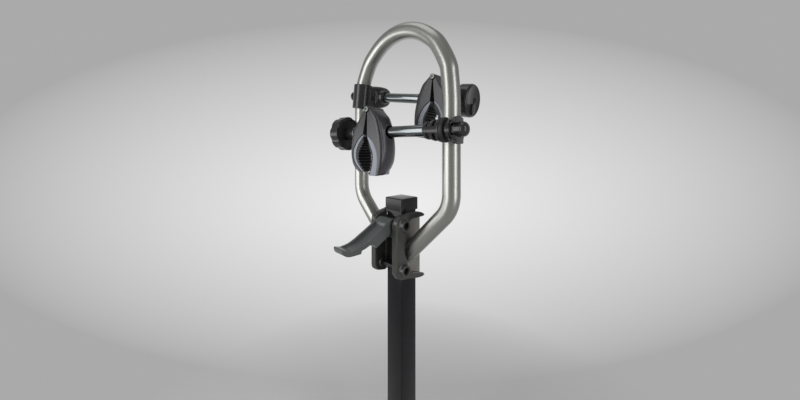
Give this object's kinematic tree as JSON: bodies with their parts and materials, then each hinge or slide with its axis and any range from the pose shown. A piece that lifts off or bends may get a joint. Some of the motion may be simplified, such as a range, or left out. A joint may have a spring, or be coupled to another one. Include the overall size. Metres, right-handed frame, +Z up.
{
  "type": "hitch bike rack upper mast",
  "caption": "Black square mast with a cam-lever carriage, a silver tube hoop and rod-mounted frame clamps with hinged, rubber-lined jaws and hand knobs.",
  "frame": {"origin": "centre of the mast's flat foot, on the surface that it rests on", "axes": "+Z up the mast, +X to the right leg of the hoop, -Y to the front, where the cam lever points"},
  "size_m": [0.3798, 0.2443, 0.952],
  "materials": {
    "bolt_black": "black oxide",
    "cap_plastic": "satin black",
    "cast_black": "satin black cast metal",
    "channel_grey": "satin grey",
    "clamp_black": "satin near-black",
    "hoop_silver": "satin silver",
    "knob_black": "satin black",
    "lever_grey": "satin dark grey cast metal",
    "liner_black": "black",
    "liner_bluegrey": "pale bluish grey",
    "lock_metal": "dark metal",
    "mast_black": "matt black powder coat",
    "pad_rubber": "black",
    "pin_zinc": "bright zinc",
    "rod_steel": "polished zinc"
  },
  "bodies": {
    "base": {"mast_tube": "mast_black", "mast_cap": "cap_plastic", "mast_foot_plug": "cap_plastic"},
    "carriage": {"carriage_channel": "channel_grey", "guide_liner": "liner_black", "bracket_left": "cast_black", "bracket_right": "cast_black", "pivot_bolt": "bolt_black", "lower_bolt": "bolt_black", "pivot_nut": "bolt_black", "lower_nut": "bolt_black", "spacer_left": "cast_black", "spacer_right": "cast_black", "pressure_shoe": "liner_black", "hoop_tube": "hoop_silver"},
    "lever": {"cam_lever": "lever_grey"},
    "collar_a": {"collar_a": "clamp_black"},
    "collar_b": {"collar_b": "clamp_black", "collar_b_ring": "pad_rubber", "collar_b_end": "clamp_black"},
    "rod_a": {"rod_a": "rod_steel", "rod_a_cap": "clamp_black"},
    "clamp_a": {"inner_jaw_a": "clamp_black", "inner_liner_a": "liner_bluegrey", "inner_pad_a": "pad_rubber", "hinge_pin_a": "pin_zinc", "stud_a": "rod_steel"},
    "jaw_a": {"outer_jaw_a": "clamp_black", "outer_liner_a": "liner_bluegrey", "outer_pad_a": "pad_rubber"},
    "washer_a": {"washer_a": "pin_zinc"},
    "knob_a": {"knob_a": "knob_black", "lock_cover_a": "knob_black"},
    "rod_b": {"rod_b": "rod_steel", "rod_b_cap": "clamp_black"},
    "clamp_b": {"inner_jaw_b": "clamp_black", "inner_liner_b": "liner_bluegrey", "inner_pad_b": "pad_rubber", "hinge_pin_b": "pin_zinc", "stud_b": "rod_steel"},
    "jaw_b": {"outer_jaw_b": "clamp_black", "outer_liner_b": "liner_bluegrey", "outer_pad_b": "pad_rubber"},
    "washer_b": {"washer_b": "pin_zinc"},
    "knob_b": {"knob_b": "knob_black"},
    "lock_a": {"lock_cylinder_a": "lock_metal"}
  },
  "joints": [
    {"name": "carriage_slide", "type": "slide", "parent": "base", "child": "carriage", "axis": [0, 0, 1], "range_m": [-0.18, 0]},
    {"name": "lever_turn", "type": "hinge", "parent": "carriage", "child": "lever", "pos_m": [0, -0.0314, 0.5557], "axis": [1, 0, 0], "range_deg": [-25, 63]},
    {"name": "collar_a_swivel", "type": "hinge", "parent": "carriage", "child": "collar_a", "pos_m": [-0.12299, -0.005, 0.8247], "axis": [0.1374, 0, 0.9905], "range_deg": [0, 60]},
    {"name": "rod_a_reach", "type": "slide", "parent": "collar_a", "child": "rod_a", "axis": [0.9851, 0.1045, -0.1367], "range_m": [-0.02, 0.02]},
    {"name": "clamp_a_roll", "type": "hinge", "parent": "rod_a", "child": "clamp_a", "pos_m": [0.04999, 0.04985, 0.8007], "axis": [-0.9851, -0.1045, 0.1367], "range_deg": [-15, 40]},
    {"name": "washer_a_travel", "type": "slide", "parent": "clamp_a", "child": "washer_a", "axis": [0.9851, 0.1045, -0.1367], "range_m": [-0.00287, 0.00575]},
    {"name": "knob_a_turn", "type": "hinge", "parent": "washer_a", "child": "knob_a", "pos_m": [0.04999, 0.04985, 0.8007], "axis": [0.9851, 0.1045, -0.1367], "range_deg": [-346, 691]},
    {"name": "jaw_a_open", "type": "hinge", "parent": "clamp_a", "child": "jaw_a", "pos_m": [0.0559, 0.04985, 0.84329], "axis": [0.1035, -0.9945, -0.0144], "range_deg": [-4, 8]},
    {"name": "collar_b_swivel", "type": "hinge", "parent": "carriage", "child": "collar_b", "pos_m": [0.126, -0.005, 0.7308], "axis": [0, 0, 1], "range_deg": [0, 60]},
    {"name": "rod_b_reach", "type": "slide", "parent": "collar_b", "child": "rod_b", "axis": [-0.9848, -0.1736, 0], "range_m": [-0.02, 0.014]},
    {"name": "clamp_b_roll", "type": "hinge", "parent": "rod_b", "child": "clamp_b", "pos_m": [-0.01049, -0.06407, 0.7308], "axis": [0.9848, 0.1736, 0], "range_deg": [-15, 40]},
    {"name": "washer_b_travel", "type": "slide", "parent": "clamp_b", "child": "washer_b", "axis": [-0.9848, -0.1736, 0], "range_m": [-0.00287, 0.00575]},
    {"name": "knob_b_turn", "type": "hinge", "parent": "washer_b", "child": "knob_b", "pos_m": [-0.01049, -0.06407, 0.7308], "axis": [-0.9848, -0.1736, 0], "range_deg": [-346, 691]},
    {"name": "jaw_b_open", "type": "hinge", "parent": "clamp_b", "child": "jaw_b", "pos_m": [-0.01049, -0.06407, 0.7738], "axis": [-0.1736, 0.9848, 0], "range_deg": [-4, 8]},
    {"name": "lock_a_turn", "type": "hinge", "parent": "knob_a", "child": "lock_a", "pos_m": [0.13022, 0.06338, 0.79057], "axis": [0.9851, 0.1045, -0.1367], "range_deg": [0, 90]}
  ],
  "couplings": [
    {"joint": "knob_a_turn", "follows": "washer_a_travel", "rad_per_m": 2094.4},
    {"joint": "jaw_a_open", "follows": "washer_a_travel", "rad_per_m": 24.086},
    {"joint": "knob_b_turn", "follows": "washer_b_travel", "rad_per_m": 2094.4},
    {"joint": "jaw_b_open", "follows": "washer_b_travel", "rad_per_m": 24.086}
  ]
}
